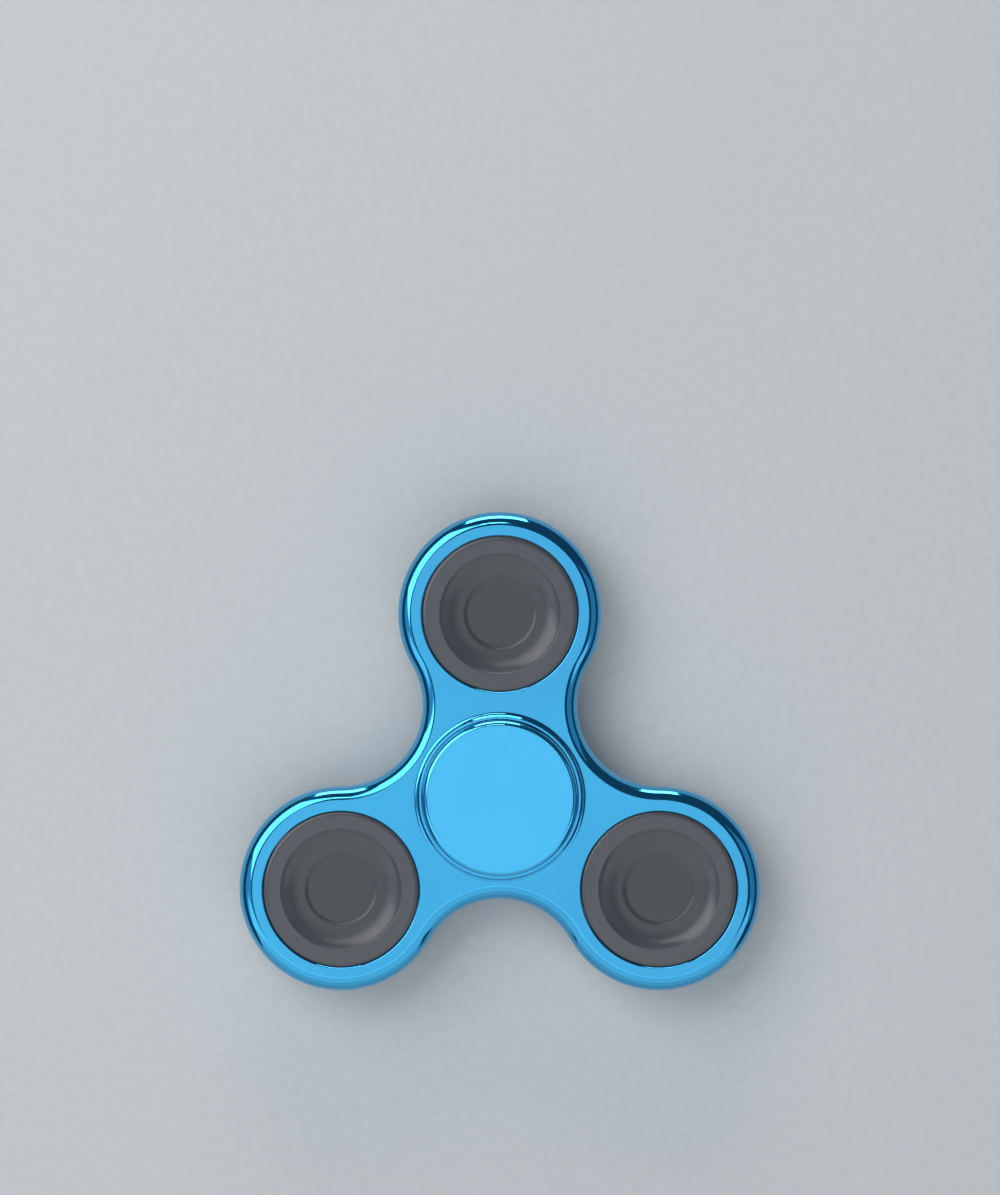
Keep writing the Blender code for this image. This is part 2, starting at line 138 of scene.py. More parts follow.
def solid(name, patches, look, middle=(0.0, 0.0)):
    """One closed mesh from patches of (points, normals, faces): the patches are welded where their
    edges meet, and the normals given shade it. Its UV map is the distance from the piece's middle
    along X and along Y."""
    points = np.vstack([patch[0] for patch in patches])
    normals = np.vstack([patch[1] for patch in patches])
    faces, first = [], 0
    for patch in patches:
        faces += (np.asarray(patch[2]) + first).tolist()
        first += len(patch[0])
    mesh = bpy.data.meshes.new(name)
    mesh.from_pydata(points, [], faces)
    kept = mesh.attributes.new("facing", "FLOAT_VECTOR", "POINT")
    kept.data.foreach_set("vector", normals.astype(np.float32).ravel())
    weld = bmesh.new()
    weld.from_mesh(mesh)
    bmesh.ops.remove_doubles(weld, verts=weld.verts, dist=0.0002 * MM)
    weld.to_mesh(mesh)
    weld.free()
    facing = np.empty(len(mesh.vertices) * 3, np.float32)
    mesh.attributes["facing"].data.foreach_get("vector", facing)
    mesh.attributes.remove(mesh.attributes["facing"])
    mesh.shade_smooth()
    mesh.normals_split_custom_set_from_vertices(facing.reshape(-1, 3))
    place = np.empty(len(mesh.vertices) * 3, np.float32)
    mesh.vertices.foreach_get("co", place)
    corner = np.empty(len(mesh.loops), np.int32)
    mesh.loops.foreach_get("vertex_index", corner)
    flat = place.reshape(-1, 3)[corner, :2] - np.asarray(middle, np.float32)
    mesh.uv_layers.new(name="face").uv.foreach_set("vector", flat.ravel())
    mesh.materials.append(look)
    made = bpy.data.objects.new(name, mesh)
    bpy.context.scene.collection.objects.link(made)
    return made


def new_look(name, values):
    """A new material, its node tree and its shader, with plain values set on the shader."""
    look = bpy.data.materials.new(name)
    look.use_nodes = True
    shader = look.node_tree.nodes["Principled BSDF"]
    for socket, value in values.items():
        shader.inputs[socket].default_value = value
    return look, look.node_tree, shader


def node(tree, kind, inputs, output=0, **settings):
    """One output of a new node. Each of its inputs gets a plain value, or is joined to the output
    of another node."""
    made = tree.nodes.new("ShaderNode" + kind)
    for setting, value in settings.items():
        setattr(made, setting, value)
    for socket, value in inputs.items():
        if isinstance(value, bpy.types.NodeSocket):
            tree.links.new(value, made.inputs[socket])
        else:
            made.inputs[socket].default_value = value
    return made.outputs[output]


def place_on(tree):
    """The place in the object's own coordinates, in metres."""
    return node(tree, "TexCoord", {}, "Object")


def from_middle(tree):
    """The distance from the piece's middle, as its UV map holds it."""
    across = node(tree, "UVMap", {}, uv_map="face")
    return node(tree, "VectorMath", {0: across}, "Value", operation="LENGTH")


def noise(tree, where, per_metre, detail):
    """Smooth noise between 0 and 1, with a number of changes in each metre."""
    inputs = {"Vector": where, "Scale": per_metre, "Detail": detail}
    return node(tree, "TexNoise", inputs, "Fac")


def ranged(tree, value, low, high, start, end):
    """A value carried from the range low to high to the range start to end, and held inside it."""
    inputs = {"Value": value, "From Min": low, "From Max": high, "To Min": start, "To Max": end}
    return node(tree, "MapRange", inputs, "Result")


def blended(tree, factor, first, second):
    """The first colour where the factor is 0, the second where it is 1."""
    inputs = {"Factor": factor, "A": (*first, 1), "B": (*second, 1)}
    return node(tree, "Mix", inputs, "Result", data_type="RGBA")


def raised(tree, height, depth, under=None):
    """The surface's normal tipped by a height of some depth, on top of the relief under it."""
    inputs = {"Strength": 1.0, "Distance": depth, "Height": height}
    if under:
        inputs["Normal"] = under
    return node(tree, "Bump", inputs, "Normal")


def finished(look, shader, colour, roughness, normal):
    """The look, with its colour, roughness and normal joined to its shader."""
    links = look.node_tree.links
    links.new(colour, shader.inputs["Base Color"])
    links.new(roughness, shader.inputs["Roughness"])
    links.new(normal, shader.inputs["Normal"])
    return look


def steel_look(name, colour, roughness, spacing, depth):
    """Bare steel with fine marks that run round the piece: noise read by the distance from the
    piece's middle and by the height, so it is the same all the way round. Clouds of haze change
    the roughness."""
    haze_per_metre = 420
    dark, light = 0.82, 1.12
    glossy, dull = 0.75, 1.3
    look, tree, shader = new_look(name, {"Metallic": 1.0})
    place = place_on(tree)
    height = node(tree, "SeparateXYZ", {0: place}, "Z")
    section = node(tree, "CombineXYZ", {"X": from_middle(tree), "Y": height})
    marks = noise(tree, section, 1 / spacing, 3)
    haze = noise(tree, place, haze_per_metre, 4)
    tint = blended(
        tree, marks, [dark * part for part in colour], [min(1.0, light * part) for part in colour]
    )
    gloss = ranged(tree, haze, 0.3, 0.7, glossy * roughness, dull * roughness)
    return finished(look, shader, tint, gloss, raised(tree, marks, depth))


ground_steel = steel_look("ground_race_steel", (0.56, 0.57, 0.58), 0.2, 0.12 * MM, 0.001 * MM)
lip = math.degrees(math.acos((PITCH - INNER_LAND) / GROOVE))
lip_height = GROOVE * math.sin(math.radians(lip))
inner_race_profile = np.vstack((
    rounded(
        [
            (INNER_LAND, -lip_height),
            (INNER_LAND, -RACE_HALF_WIDTH),
            (BORE, -RACE_HALF_WIDTH),
            (BORE, RACE_HALF_WIDTH),
            (INNER_LAND, RACE_HALF_WIDTH),
            (INNER_LAND, lip_height),
        ],
        [0, 0.12 * MM, 0.3 * MM, 0.3 * MM, 0.12 * MM, 0],
        ring=False,
    ),
    arc((PITCH, 0), GROOVE, 180 - lip, 180 + lip, count=17)[1:-1],
))
inner_race = solid(
    "inner_race", [turned_patch(inner_race_profile, columns=120, ring=True)], ground_steel
)
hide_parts("bearing_inner_race")
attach(inner_race, "finger_caps")

# ---------------------------------------------------------------------------------------------
# Balls. Seven balls of chromium steel, lapped to a mirror, loose between the races. Each rolls in
# its own pocket of the cage.
# ---------------------------------------------------------------------------------------------

BALL = 1.9845 * MM
BALL_COUNT = 7


def ball_middle(index):
    """Middle of a ball: on the pitch circle, at equal angles from +Y."""
    angle = math.pi / 2 + index * math.tau / BALL_COUNT
    return (PITCH * math.cos(angle), PITCH * math.sin(angle), MIDDLE)


lapped_steel = steel_look("lapped_ball_steel", (0.72, 0.73, 0.74), 0.07, 0.8 * MM, 0.0003 * MM)
ball_profile = arc((0, 0), BALL, 90, -90, count=33)
ball_profile[[0, -1], 0] = 0
for index in range(BALL_COUNT):
    middle = ball_middle(index)
    sphere = turned_patch(ball_profile, columns=56, centre=middle)
    ball = solid(f"ball_{index + 1}", [sphere], lapped_steel, middle[:2])
    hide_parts(f"bearing_ball_{index + 1}")
    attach(ball, f"ball_{index + 1}")

# ---------------------------------------------------------------------------------------------
# Cage. A ribbon of thin steel sheet, pressed into a round cup over each ball and flat between
# them. Two halves meet at the middle plane and keep the balls evenly spaced.
# ---------------------------------------------------------------------------------------------

CAGE_INSIDE = 6.75 * MM
CAGE_OUTSIDE = 8.25 * MM
CAGE_SHEET = 0.28 * MM
CAGE_GAP = 0.06 * MM
CAGE_FLAT = (CAGE_GAP + CAGE_SHEET) / 2
CUP = GROOVE + CAGE_SHEET / 2
PRESS_BEND = 0.12 * MM
CUP_STEPS = 41
FLAT_STEPS = 9
ACROSS_STEPS = 13


def cage_half(name, side, look):
    """Pressed ribbon over the pitch circle. Its height is a smooth maximum of two surfaces: the
    flat, and a sphere round each ball, the square root of the cup's radius squared less the
    distance from the ball's middle squared. Solidify gives it the sheet's thickness."""
    over_cup = np.arcsin(CUP / PITCH * np.sin(np.linspace(-math.pi / 2, math.pi / 2, CUP_STEPS)))
    step = math.tau / BALL_COUNT
    flat = np.linspace(over_cup[-1], step + over_cup[0], FLAT_STEPS)[1:-1]
    one_ball = np.concatenate((over_cup, flat))
    angles = (math.pi / 2 + step * np.arange(BALL_COUNT)[:, None] + one_ball[None, :]).ravel()
    nearest = np.tile(one_ball - step * (one_ball > step / 2), BALL_COUNT)
    radii = np.linspace(CAGE_INSIDE, CAGE_OUTSIDE, ACROSS_STEPS)[:, None]
    away = radii ** 2 + PITCH ** 2 - 2 * radii * PITCH * np.cos(nearest)[None, :]
    cup = np.sqrt(np.maximum(CUP ** 2 - away, 0))
    height = (cup + CAGE_FLAT + np.sqrt((cup - CAGE_FLAT) ** 2 + PRESS_BEND ** 2)) / 2
    height -= height.min() - CAGE_FLAT
    points = np.empty((len(radii), len(angles), 3))
    points[..., 0] = radii * np.cos(angles)
    points[..., 1] = radii * np.sin(angles)
    points[..., 2] = MIDDLE + side * height
    faces = grid_faces(len(radii), len(angles), False, True)[:, ::side]
    facing = np.tile((0.0, 0.0, float(side)), (points.size // 3, 1))
    made = solid(name, [(points.reshape(-1, 3), facing, faces)], look)
    made.data.attributes.remove(made.data.attributes["custom_normal"])
    sheet = made.modifiers.new("sheet", "SOLIDIFY")
    sheet.thickness = CAGE_SHEET
    sheet.offset = 0
    sheet.use_even_offset = True
    return made


pressed_steel = steel_look("pressed_sheet_steel", (0.47, 0.47, 0.46), 0.34, 0.5 * MM, 0.004 * MM)
for name, side in (("front", 1), ("rear", -1)):
    half = cage_half(f"cage_{name}", side, pressed_steel)
    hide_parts(f"cage_{name}_half")
    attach(half, "cage")

# ---------------------------------------------------------------------------------------------
# Outer race. A ring of hardened steel pressed into the body's middle seat. Beside the balls'
# groove, a step on each face seats a shield.
# ---------------------------------------------------------------------------------------------

OUTER_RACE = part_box("bearing_outer_race")[1].x
OUTER_LAND = 8.8 * MM
SHIELD_SEAT = 9.6 * MM
SHIELD_SEAT_HEIGHT = 2.55 * MM

lip = math.degrees(math.acos((OUTER_LAND - PITCH) / GROOVE))
lip_height = GROOVE * math.sin(math.radians(lip))
outer_race_profile = np.vstack((
    rounded(
        [
            (OUTER_LAND, lip_height),
            (OUTER_LAND, SHIELD_SEAT_HEIGHT),
            (SHIELD_SEAT, SHIELD_SEAT_HEIGHT),
            (SHIELD_SEAT, RACE_HALF_WIDTH),
            (OUTER_RACE, RACE_HALF_WIDTH),
            (OUTER_RACE, -RACE_HALF_WIDTH),
            (SHIELD_SEAT, -RACE_HALF_WIDTH),
            (SHIELD_SEAT, -SHIELD_SEAT_HEIGHT),
            (OUTER_LAND, -SHIELD_SEAT_HEIGHT),
            (OUTER_LAND, -lip_height),
        ],
        np.array([0, 0.06, 0.05, 0.1, 0.3, 0.3, 0.1, 0.05, 0.06, 0]) * MM,
        ring=False,
    ),
    arc((PITCH, 0), GROOVE, -lip, lip, count=17)[1:-1],
))
outer_race = solid(
    "outer_race", [turned_patch(outer_race_profile, columns=160, ring=True)], ground_steel
)
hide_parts("bearing_outer_race")
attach(outer_race, "rotor")

# ---------------------------------------------------------------------------------------------
# Shields and their clips. A shield is a ring pressed from thin sheet, with a raised middle. A
# C-shaped spring wire lies on its rim and holds it on the outer race's step.
# ---------------------------------------------------------------------------------------------

SHIELD_HOLE = 6.3 * MM
SHIELD_EDGE = 9.5 * MM
SHIELD_RIM = 0.75 * MM
SHIELD_HEIGHT = 2.65 * MM
SHIELD_SHEET = 0.25 * MM
SHIELD_CROWN = 0.25 * MM
CLIP_RING = 9.3 * MM
CLIP_WIRE = 0.17 * MM
CLIP_GAP = 0.03 * MM
CLIP_HEIGHT = SHIELD_HEIGHT + SHIELD_SHEET + CLIP_GAP + CLIP_WIRE
CLIP_OPENING = math.radians(20)
TIP_STEPS = 6
CLIP_STEPS = 150
WIRE_STEPS = 12


def flipped(patch):
    """A patch turned half round the Y axis through the middle plane: X and Z change sign."""
    points, normals, faces = patch
    turn = np.array([-1.0, 1.0, -1.0])
    lift = np.array([0.0, 0.0, 2 * MIDDLE])
    return points * turn + lift, normals * turn, faces


def shield_patch():
    """The shield's section turned round the axis: a flat rim, a slope, and a raised flat that ends
    in a small curl at the hole."""
    top = SHIELD_HEIGHT + SHIELD_SHEET
    slope = SHIELD_EDGE - SHIELD_RIM
    crown = slope - SHIELD_CROWN
    corners = [
        (SHIELD_HOLE, top + SHIELD_CROWN),
        (crown, top + SHIELD_CROWN),
        (slope, top),
        (SHIELD_EDGE, top),
        (SHIELD_EDGE, SHIELD_HEIGHT),
        (slope, SHIELD_HEIGHT),
        (crown, SHIELD_HEIGHT + SHIELD_CROWN),
        (SHIELD_HOLE, SHIELD_HEIGHT + SHIELD_CROWN),
    ]
    radii = np.array([0.1, 0.2, 0.2, 0.1, 0.1, 0.2, 0.2, 0.1]) * MM
    return turned_patch(rounded(corners, radii, ring=True, count=5), columns=140, ring=True)


def clip_patch():
    """Round wire bent to a C: a circle carried along an arc. At both ends it shrinks as the cosine
    while the path goes on as the sine, which makes a round tip."""
    tip = np.linspace(-math.pi / 2, 0, TIP_STEPS)
    along = np.linspace(CLIP_OPENING / 2, math.tau - CLIP_OPENING / 2, CLIP_STEPS)
    shift = CLIP_WIRE / CLIP_RING * np.sin(tip)
    angle = math.pi / 2 + np.concatenate((along[0] + shift, along[1:-1], along[-1] - shift[::-1]))
    lean = np.concatenate((tip, np.zeros(len(along) - 2), -tip[::-1]))
    thick = CLIP_WIRE * np.maximum(np.cos(lean), 0)
    turn = np.arange(WIRE_STEPS) * math.tau / WIRE_STEPS
    outward = np.stack((np.cos(angle), np.sin(angle), np.zeros_like(angle)), -1)[:, None, :]
    tangent = np.stack((-np.sin(angle), np.cos(angle), np.zeros_like(angle)), -1)[:, None, :]
    upward = np.array([0.0, 0.0, 1.0])
    section = outward * np.cos(turn)[None, :, None] + upward * np.sin(turn)[None, :, None]
    points = outward * CLIP_RING + section * thick[:, None, None] + upward * (MIDDLE + CLIP_HEIGHT)
    facing = section * np.cos(lean)[:, None, None] + tangent * np.sin(lean)[:, None, None]
    faces = grid_faces(len(angle), len(turn), False, True)
    return points.reshape(-1, 3), facing.reshape(-1, 3), faces


spring_wire = steel_look("drawn_spring_wire", (0.40, 0.40, 0.41), 0.26, 0.3 * MM, 0.002 * MM)
for name, face in (("front", lambda patch: patch), ("rear", flipped)):
    shield = solid(f"shield_{name}_pressed", [face(shield_patch())], pressed_steel)
    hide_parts(f"shield_{name}")
    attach(shield, "rotor")
    clip = solid(f"clip_{name}", [face(clip_patch())], spring_wire)
    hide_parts(f"shield_clip_{name}")
    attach(clip, "rotor")

# ---------------------------------------------------------------------------------------------
# Spinner body. One piece of moulded plastic, metal plated and lacquered a bright mirror blue. Its
# outer rim is rounded, the middle seat stands up in a collar, and a seat is bored in each lobe.
# ---------------------------------------------------------------------------------------------

LOBES = {"top": 90.0, "left": 210.0, "right": 330.0}
LOBE_DISTANCE = (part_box("weight_top")[0].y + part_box("weight_top")[1].y) / 2
LOBE = 14.5 * MM
WAIST = 11.5 * MM
LOBE_SPACING = math.radians(60)
WAIST_DISTANCE = LOBE_DISTANCE * math.cos(LOBE_SPACING) + math.sqrt(
    (LOBE + WAIST) ** 2 - (LOBE_DISTANCE * math.sin(LOBE_SPACING)) ** 2
)
WAIST_SWEEP = math.asin(LOBE_DISTANCE * math.sin(LOBE_SPACING) / (LOBE + WAIST))
BODY_FACE = 3.7 * MM
BORE_EDGE = 0.1 * MM
RIM_ROUNDING = 2.1 * MM
RIM_BAND = 2.15 * MM
SEAT = 11.06 * MM
SEAT_ROUNDING = 0.22 * MM
SEAT_MARGIN = 0.4 * MM
COLLAR_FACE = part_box("spinner_body")[1].z - MIDDLE
COLLAR = 11.55 * MM
COLLAR_EDGE = 0.15 * MM
FILLET = 12.25 * MM
FILLET_RISE = COLLAR_FACE - COLLAR_EDGE - BODY_FACE
COLLAR_BAND = 12.3 * MM
SEAT_COLUMNS = 128
COLLAR_COLUMNS = 192
PARTING_BEAD = 0.02 * MM
PARTING_HALF_WIDTH = 0.09 * MM


def lobe_middle(heading):
    """Middle of a lobe in the plane: its distance along its heading, in degrees."""
    angle = math.radians(heading)
    return np.array((LOBE_DISTANCE * math.cos(angle), LOBE_DISTANCE * math.sin(angle)))


def body_outline(lobe_steps, waist_steps):
    """The outline seen from above, anticlockwise, with its outward directions: round each lobe's
    middle, then back round the middle of the waist's circle, which touches both lobes."""
    places, outward = [], []
    for heading in LOBES.values():
        sweep = LOBE_SPACING + WAIST_SWEEP
        turn = math.radians(heading) + np.linspace(-sweep, sweep, lobe_steps + 1)[:-1]
        away = np.column_stack((np.cos(turn), np.sin(turn)))
        places.append(lobe_middle(heading) + LOBE * away)
        outward.append(away)
        waist = math.radians(heading) + LOBE_SPACING
        middle = WAIST_DISTANCE * np.array((math.cos(waist), math.sin(waist)))
        turn = waist + math.pi + np.linspace(WAIST_SWEEP, -WAIST_SWEEP, waist_steps + 1)[:-1]
        away = np.column_stack((np.cos(turn), np.sin(turn)))
        places.append(middle + WAIST * away)
        outward.append(-away)
    return np.vstack(places), np.vstack(outward)


def rim_patch(places, outward):
    """The rim's section carried along the outline: a quarter circle from the face to the side, the
    side with a fine bead where the mould's halves met, and a quarter circle to the other face."""
    side = 18
    tilt = np.radians(np.concatenate(([90], np.linspace(90, 0, side - 1), [0, 35, 0])))
    inward = RIM_ROUNDING * (1 - np.cos(tilt))
    height = BODY_FACE - RIM_ROUNDING * (1 - np.sin(tilt))
    inward[0] = RIM_BAND
    inward[side:] = (0, -PARTING_BEAD / 2, -PARTING_BEAD)
    height[side:] = np.array([2, 1, 0]) * PARTING_HALF_WIDTH / 2
    inward = np.concatenate((inward, inward[-2::-1]))[:, None, None]
    height = np.concatenate((height, -height[-2::-1]))[:, None, None]
    tilt = np.concatenate((tilt, -tilt[-2::-1]))[:, None, None]
    level = np.ones((1, len(places), 1))
    points = np.concatenate((places - outward * inward, (MIDDLE + height) * level), -1)
    facing = np.concatenate((outward * np.cos(tilt), np.sin(tilt) * level), -1)
    faces = grid_faces(len(height), len(places), False, True)
    return points.reshape(-1, 3), facing.reshape(-1, 3), faces


def circle(centre, radius, count):
    """Points round a circle, anticlockwise from +X."""
    angles = np.arange(count) * math.tau / count
    return centre + radius * np.column_stack((np.cos(angles), np.sin(angles)))


def inside(places, loops):
    """Whether places lie inside an odd number of loops: a line to the right of each place crosses
    the loops' sides an odd number of times."""
    crossings = np.zeros(len(places), int)
    for loop in loops:
        start, end = loop[None], np.roll(loop, -1, axis=0)[None]
        x, y = places[:, None, 0], places[:, None, 1]
        spans = (start[..., 1] > y) != (end[..., 1] > y)
        rise = np.where(spans, end[..., 1] - start[..., 1], 1)
        at = start[..., 0] + (y - start[..., 1]) * (end[..., 0] - start[..., 0]) / rise
        crossings += (spans & (at > x)).sum(axis=1)
    return crossings % 2 == 1


def face_patch(loops):
    """The flat face between the loops, cut into triangles whose corners all lie on the loops."""
    flat = np.vstack(loops)
    sides, first = [], 0
    for loop in loops:
        count = len(loop)
        sides += [(first + index, first + (index + 1) % count) for index in range(count)]
        first += count
    _, _, triangles, kept, _, _ = delaunay_2d_cdt(
        [Vector(place) for place in flat / MM], sides, [], 0, 1e-5
    )
    source = np.array([group[0] for group in kept])
    faces = source[np.array(triangles)]
    faces = faces[inside(flat[faces].mean(axis=1), loops)]
    points = np.column_stack((flat, np.full(len(flat), MIDDLE + BODY_FACE)))
    return points, np.tile((0.0, 0.0, 1.0), (len(flat), 1)), faces


def mirrored(patch):
    """A patch reflected in the middle plane, with its faces turned round so they point outwards."""
    points, normals, faces = patch
    return points * (1, 1, -1) + (0, 0, 2 * MIDDLE), normals * (1, 1, -1), np.asarray(faces)[:, ::-1]


def collar_patch():
    """The collar's section turned round the axis: up the bore, over the narrow rounded land, down
    the hollow fillet, which is a quarter of an ellipse, and out to the flat, on both faces."""
    bore_edge = arc((SEAT + BORE_EDGE, COLLAR_FACE - BORE_EDGE), BORE_EDGE, 180, 90, count=5)
    land_middle = (COLLAR - COLLAR_EDGE, COLLAR_FACE - COLLAR_EDGE)
    land_edge = arc(land_middle, COLLAR_EDGE, 90, 0, count=7)
    lean = np.linspace(0, math.pi / 2, 20)[1:]
    fillet = np.column_stack((
        FILLET - (FILLET - COLLAR) * np.cos(lean), BODY_FACE + FILLET_RISE * (1 - np.sin(lean))
    ))
    upper = np.vstack((bore_edge, land_edge, fillet, [(COLLAR_BAND, BODY_FACE)]))
    return turned_patch(np.vstack((upper[::-1] * (1, -1), upper)), COLLAR_COLUMNS)


def plating_look(name, colour, deep_tone_and_shade, painted_shade_ring, pin_mark):
    """Mirror plating under a clear blue lacquer. Clouds shift the colour and the gloss at random, and
    a ring given by its radius and half width is painted the darker blue: a painted shade where the
    surface curves. The bump adds slow waves of the moulding, the lacquer's fine peel, hair scratches,
    and the faint ring that a mould's pin left, given as its middle and its radius."""
    waves, peel, clouds, haze = 55, 1300, 38, 260
    wave_depth, peel_depth, pin_depth, scratch_depth = 0.02 * MM, 0.0009 * MM, 0.004 * MM, 0.0006 * MM
    pin_ring, scratch_gloss, painted_shade_most, cloud_most = 0.07 * MM, 0.1, 0.7, 0.8
    look, tree, shader = new_look(name, {
        "Metallic": 1.0,
        "Coat Weight": 1.0,
        "Coat Roughness": 0.03,
        "Coat IOR": 1.65,
        "Coat Tint": (0.8, 0.93, 1.0, 1),
    })
    place = place_on(tree)
    # A ring of painted shade: round the given radius the colour turns towards the darker blue.
    beside = node(tree, "Math", {0: from_middle(tree), 1: painted_shade_ring[0]}, operation="SUBTRACT")
    apart = node(tree, "Math", {0: beside}, operation="ABSOLUTE")
    painted_shade = ranged(tree, apart, 0, painted_shade_ring[1], painted_shade_most, 0)
    cloud = ranged(tree, noise(tree, place, clouds, 2), 0.35, 0.7, 0, cloud_most)
    # The darker blue comes from the random clouds and from the ring of painted shade, whichever is
    # more.
    depth = node(tree, "Math", {0: painted_shade, 1: cloud}, operation="MAXIMUM")

    scratches = 0.0
    for angle in (24, 71, 140):
        turned = node(tree, "Mapping", {
            "Vector": place,
            "Rotation": (0, 0, math.radians(angle)),
            "Scale": (9000, 90, 90),
            "Location": (angle, 0, 0),
        })
        lines = ranged(tree, noise(tree, turned, 1, 0), 0.76, 0.84, 0, 1)
        scratches = node(tree, "Math", {0: scratches, 1: lines}, operation="MAXIMUM")
    smooth = ranged(tree, noise(tree, place, haze, 4), 0.35, 0.7, 0.06, 0.13)
    inputs = {0: scratches, 1: scratch_gloss, 2: smooth}
    gloss = node(tree, "Math", inputs, operation="MULTIPLY_ADD")

    normal = raised(tree, noise(tree, place, waves, 1), wave_depth)
    normal = raised(tree, noise(tree, place, peel, 2), peel_depth, normal)
    away = node(tree, "VectorMath", {0: place, 1: pin_mark[0]}, "Value", operation="DISTANCE")
    ring = node(tree, "Math", {0: away, 1: pin_mark[1], 2: pin_ring}, operation="COMPARE")
    normal = raised(tree, ring, pin_depth, normal)
    normal = raised(tree, scratches, scratch_depth, normal)
    return finished(look, shader, blended(tree, depth, colour, deep_tone_and_shade), gloss, normal)


blue_plating = plating_look(
    "lacquered_body_plating",
    colour=(0.004, 0.43, 0.74),
    deep_tone_and_shade=(0.0, 0.365, 0.67),
    # The ring of painted shade lies over the hollow fillet round the collar and the flat just past
    # it.
    painted_shade_ring=(12.1 * MM, 0.8 * MM),
    pin_mark=((8.75 * MM, -12.18 * MM, MIDDLE + BODY_FACE), 0.9 * MM),
)
places, outward = body_outline(lobe_steps=104, waist_steps=56)
seat_profile = rounded(
    [
        (SEAT + SEAT_MARGIN, -BODY_FACE), (SEAT, -BODY_FACE), (SEAT, BODY_FACE),
        (SEAT + SEAT_MARGIN, BODY_FACE),
    ],
    [0, SEAT_ROUNDING, SEAT_ROUNDING, 0],
    ring=False,
    count=7,
)
seats = [
    turned_patch(seat_profile, SEAT_COLUMNS, centre=(*lobe_middle(heading), MIDDLE))
    for heading in LOBES.values()
]
top_face = face_patch([
    places - outward * RIM_BAND,
    circle(0, COLLAR_BAND, COLLAR_COLUMNS),
    *[circle(lobe_middle(heading), SEAT + SEAT_MARGIN, SEAT_COLUMNS) for heading in LOBES.values()],
])
body = solid(
    "spinner_body_plated",
    [rim_patch(places, outward), top_face, mirrored(top_face), collar_patch(), *seats],
    blue_plating,
)
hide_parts("spinner_body")
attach(body, "rotor")

# ---------------------------------------------------------------------------------------------
# Counterweights. Three slugs of steel, turned with a rounded rim, a shallow dish and a sunk disc
# on both faces, and blackened to a satin dark grey. Each is pressed into a lobe's seat.
# ---------------------------------------------------------------------------------------------

WEIGHT = 11.0 * MM
WEIGHT_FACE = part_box("weight_top")[1].z - MIDDLE
WEIGHT_SHOULDER = 0.85 * MM
WEIGHT_SHOULDER_DROP = 0.24 * MM
DISH = 8.6 * MM
DISH_DEPTH = 0.9 * MM
DISH_EDGE = math.radians(30)
DISC = 5.15 * MM
DISC_STEP = 0.15 * MM
DISC_CORNER = 0.8 * MM
CREST_BREAK = np.array((0.03, 0.014)) * MM
LIP_BREAK = np.array((0.02, 0.012)) * MM
LIP = 0.06 * MM


def weight_profile():
    """From the middle out: a flat disc, a hollow corner that is part of a circle up to a crest, a
    dish that rises as part of an ellipse to the flat ring, and a low quarter ellipse over the
    shoulder to the side. The other face is the same."""
    width = (DISH - DISC) / math.cos(DISH_EDGE)
    height = DISH_DEPTH / (1 - math.sin(DISH_EDGE))
    lean = np.linspace(-math.pi / 2, -DISH_EDGE, 20)
    dish = np.column_stack((
        DISC + width * np.cos(lean), WEIGHT_FACE - DISH_DEPTH + height * (1 + np.sin(lean))
    ))
    disc = WEIGHT_FACE - DISH_DEPTH - DISC_STEP
    bend = (DISC_CORNER ** 2 + DISC_STEP ** 2) / (2 * DISC_STEP)
    end = math.degrees(math.asin(DISC_CORNER / bend)) - 90
    corner = arc((DISC - DISC_CORNER, disc + bend), bend, -90, end, count=8)
    shoulder = arc((0, 0), 1, 90, 0, count=18) * (WEIGHT_SHOULDER, WEIGHT_SHOULDER_DROP)
    shoulder += (WEIGHT - WEIGHT_SHOULDER, WEIGHT_FACE - WEIGHT_SHOULDER_DROP)
    upper = np.vstack((
        [(0, disc)], corner[:-1], corner[-1:] - CREST_BREAK, dish[1:-1], dish[-1:] - LIP_BREAK,
        [(DISH + LIP, WEIGHT_FACE)], shoulder,
    ))
    return np.vstack((upper, upper[::-1] * (1, -1)))


